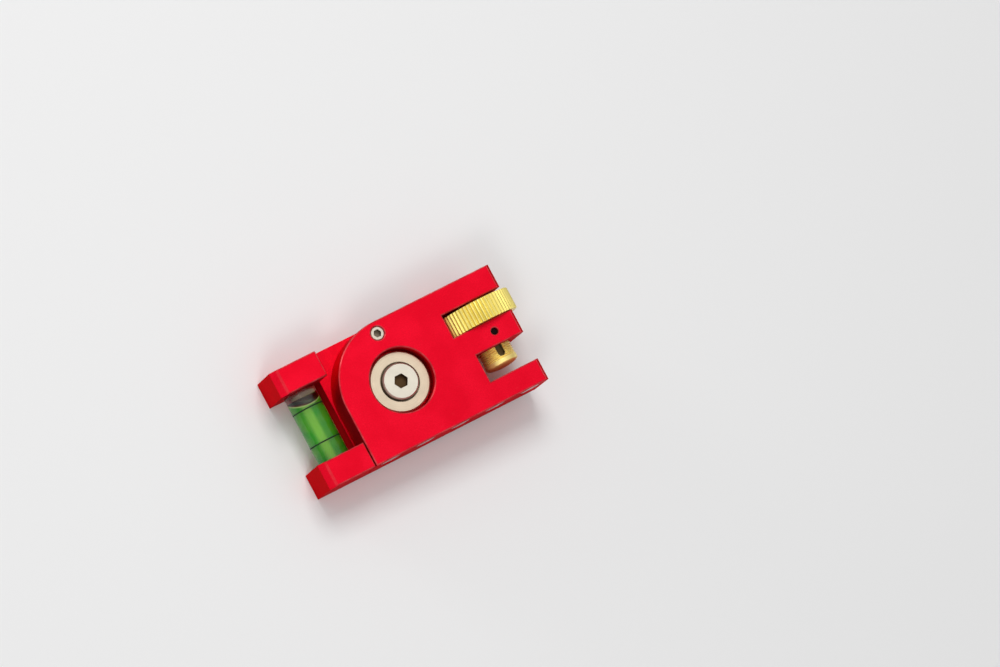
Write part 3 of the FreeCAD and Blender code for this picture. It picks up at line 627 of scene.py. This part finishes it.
MAGNETS = 8
SCRATCH_DEPTH = 0.006 * MM
finish, start, place = new_finish("nickel_plating")
haze = speckle(start, place, 160.0)
drawn = start.node("ShaderNodeMapping", None, {"Vector": place, "Scale": (0.08, 1.0, 1.0)})
scratch = speckle(start, drawn, 9000.0, 1.0)
filings = speckle(start, place, 5200.0, 2.0, 0.7).between(0.66, 0.76)
bump = start.node("ShaderNodeBump", None, {"Height": scratch, "Distance": SCRATCH_DEPTH, "Strength": 0.6})
plating = tint(start, haze.between(0.3, 0.7), (0.44, 0.435, 0.42, 1), (0.50, 0.495, 0.48, 1))
plating = tint(start, scratch.between(0.35, 0.65) * 0.3, plating, (0.34, 0.33, 0.32, 1))
nickel = start.node("ShaderNodeBsdfPrincipled", None, {
    "Base Color": tint(start, filings * 0.4, plating, (0.08, 0.07, 0.06, 1)), "Metallic": 0.95,
    "Roughness": 0.22 + 0.10 * haze + 0.2 * filings, "Normal": bump})
close_finish(finish, nickel)
for number in range(1, MAGNETS + 1):
    nodes[f"edge_magnet_{number}"].material_slots[0].material = finish


# ---- Floor, lights and camera
# The level rests on the wheel's rim and on the end of the vial holder, so the floor leans by that much. One
# soft box shines from above the wheel, one near the camera fills in, a low one behind picks out the rims, and
# a white room does the rest.

REST_X = -31.5 * MM
FLOOR_GAP = 0.03 * MM
HALF_FLOOR = 4.0
lean = -wheel_low.z / (wheel_x - REST_X)
floor_mesh = bpy.data.meshes.new("floor")
floor_mesh.from_pydata(
    [(x * HALF_FLOOR, y * HALF_FLOOR, -lean * (x * HALF_FLOOR - REST_X) - FLOOR_GAP)
     for x, y in ((-1, -1), (1, -1), (1, 1), (-1, 1))],
    [], [(0, 1, 2, 3)])
floor = bpy.data.objects.new("floor", floor_mesh)
bpy.context.scene.collection.objects.link(floor)
finish, start, _ = new_finish("floor_paper")
paper = start.node("ShaderNodeBsdfDiffuse", None, {"Color": (0.89, 0.89, 0.89, 1)})
floor_mesh.materials.append(close_finish(finish, paper))
floor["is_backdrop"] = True

RIGHT = Vector((0.84699139, -0.46974397, 0.24888990))
UP = Vector((0.42731878, 0.88011179, 0.20688619))
BACK = Vector((-0.31623447, -0.06887549, 0.94617753))
SHIFT_RIGHT = 0.03001
SHIFT_UP = 0.01562
DISTANCE = 1.6943
LENS = 226.2
camera = bpy.data.objects.new("camera", bpy.data.cameras.new("camera"))
camera.data.lens = LENS
camera.data.sensor_width = 36.0
camera.data.clip_start = 0.05
camera.data.clip_end = 20.0
turned_to = Matrix((RIGHT, UP, BACK)).transposed().to_4x4()
camera.matrix_world = Matrix.Translation(RIGHT * SHIFT_RIGHT + UP * SHIFT_UP + BACK * DISTANCE) @ turned_to
bpy.context.scene.collection.objects.link(camera)
bpy.context.scene.camera = camera


def soft_box(name, direction, distance, size, power):
    lamp = bpy.data.objects.new(name, bpy.data.lights.new(name, "AREA"))
    lamp.data.shape = "SQUARE"
    lamp.data.size = size
    lamp.data.energy = power
    lamp.location = direction.normalized() * distance
    lamp.rotation_mode = "QUATERNION"
    lamp.rotation_quaternion = direction.to_track_quat("Z", "Y")
    bpy.context.scene.collection.objects.link(lamp)


soft_box("key_light", BACK * 0.75 + UP * 0.60 + RIGHT * 0.05, distance=0.9, size=0.35, power=3.0)
soft_box("fill_light", BACK * 0.92 - UP * 0.40 + RIGHT * 0.02, distance=1.0, size=0.3, power=1.5)
soft_box("rim_light", Vector((-0.50, 0.84, 0.22)), distance=0.9, size=0.25, power=0.7)

world = bpy.data.worlds.new("white_room")
bpy.context.scene.world = world
world.use_nodes = True
world.node_tree.nodes.clear()
start = Wire(world.node_tree)
camera_ray, glossy_ray, clear_ray = [
    start.node("ShaderNodeLightPath", out=out)
    for out in ("Is Camera Ray", "Is Glossy Ray", "Is Transmission Ray")]
sky = start.node("ShaderNodeTexCoord", out="Generated")
overhead = coordinate(start, sky, "Z").between(-0.10, 0.85)
seen = start.maths("MAXIMUM", camera_ray, clear_ray)
lit = (0.12 + 0.80 * overhead) * (0.62 + 0.38 * glossy_ray)
room = start.node("ShaderNodeBackground", None, {
    "Color": (1.0, 1.0, 1.0, 1), "Strength": start.maths("MAXIMUM", lit, seen)})
end = world.node_tree.nodes.new("ShaderNodeOutputWorld")
world.node_tree.links.new(room.socket, end.inputs["Surface"])
bpy.context.scene.view_settings.view_transform = "Standard"


low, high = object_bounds()
